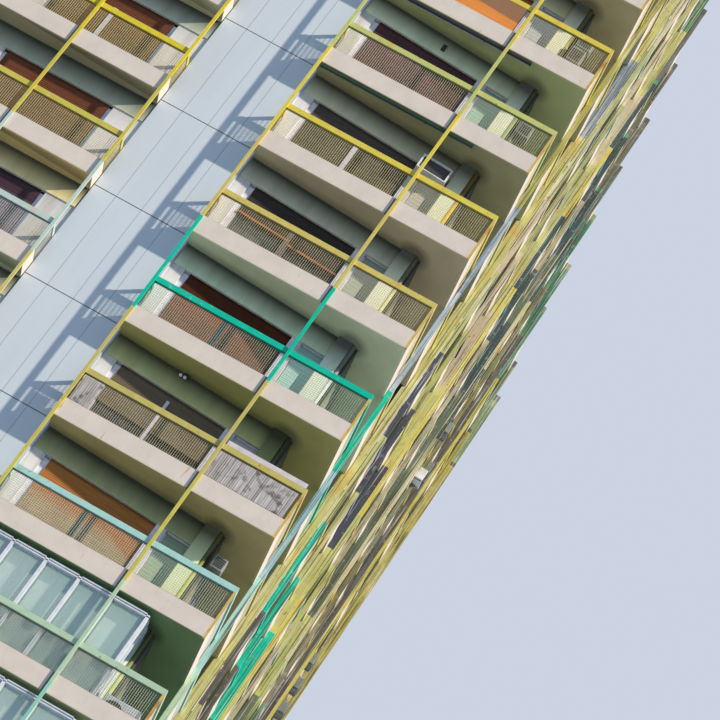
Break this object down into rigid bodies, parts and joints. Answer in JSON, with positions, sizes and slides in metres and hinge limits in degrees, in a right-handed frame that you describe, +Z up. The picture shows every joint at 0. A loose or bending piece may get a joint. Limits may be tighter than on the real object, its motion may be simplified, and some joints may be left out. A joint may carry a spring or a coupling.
{
  "type": "half-scale apartment block",
  "caption": "Half-scale model of a tall apartment block: stacked balconies with mesh railings and coloured rails, open corners and blind strips between",
  "frame": {"origin": "centre of the footprint's bounding box, at ground level", "axes": "+Z up, the front with the central balconies faces -Y, +X to the right as seen from the front"},
  "size_m": [11.32, 17.7437, 39.39],
  "materials": {
    "bare_concrete": "bare cast concrete",
    "roofing": "weathered roof surface",
    "white_render": "smooth pale render",
    "cream_render": "stained cream render",
    "beam_paint": "matt grey green paint",
    "column_paint": "matt cream paint",
    "strip_panel": "pale blue grey panel",
    "balcony_soffit": "matt sage paint, stained",
    "fascia_panel": "pinkish white panel with rust stains",
    "joint_strip": "dull dark grey",
    "rail_paint": "worn satin paint",
    "bar_paint": "worn satin paint",
    "mesh_steel": "welded wire mesh, dull"
  },
  "bodies": {
    "root": {"ground_slab": "bare_concrete", "floor_slabs": "bare_concrete", "roof_slab": "roofing", "front_piers": "white_render", "front_lintels": "white_render", "strip_walls": "white_render", "side_walls": "cream_render", "back_walls": "cream_render", "beams": "beam_paint", "corner_columns": "column_paint", "strip_panels": "strip_panel", "side_shafts": "strip_panel", "central_balcony_slabs": "balcony_soffit", "corner_balcony_slabs": "balcony_soffit", "side_balcony_slabs": "balcony_soffit", "front_fascias": "fascia_panel", "fascia_joints": "joint_strip", "side_fascias": "fascia_panel", "front_handrails": "rail_paint", "side_handrails": "rail_paint", "front_mesh": "mesh_steel", "side_mesh": "mesh_steel", "return_mesh": "mesh_steel", "corner_bars": "bar_paint", "front_posts": "rail_paint", "side_posts": "rail_paint", "side_end_posts": "rail_paint", "front_parapet": "white_render", "corner_parapets": "white_render", "side_parapets": "cream_render", "back_parapet": "cream_render", "housing_sides": "cream_render", "housing_ends": "cream_render", "housing_roof": "roofing"}
  },
  "joints": []
}
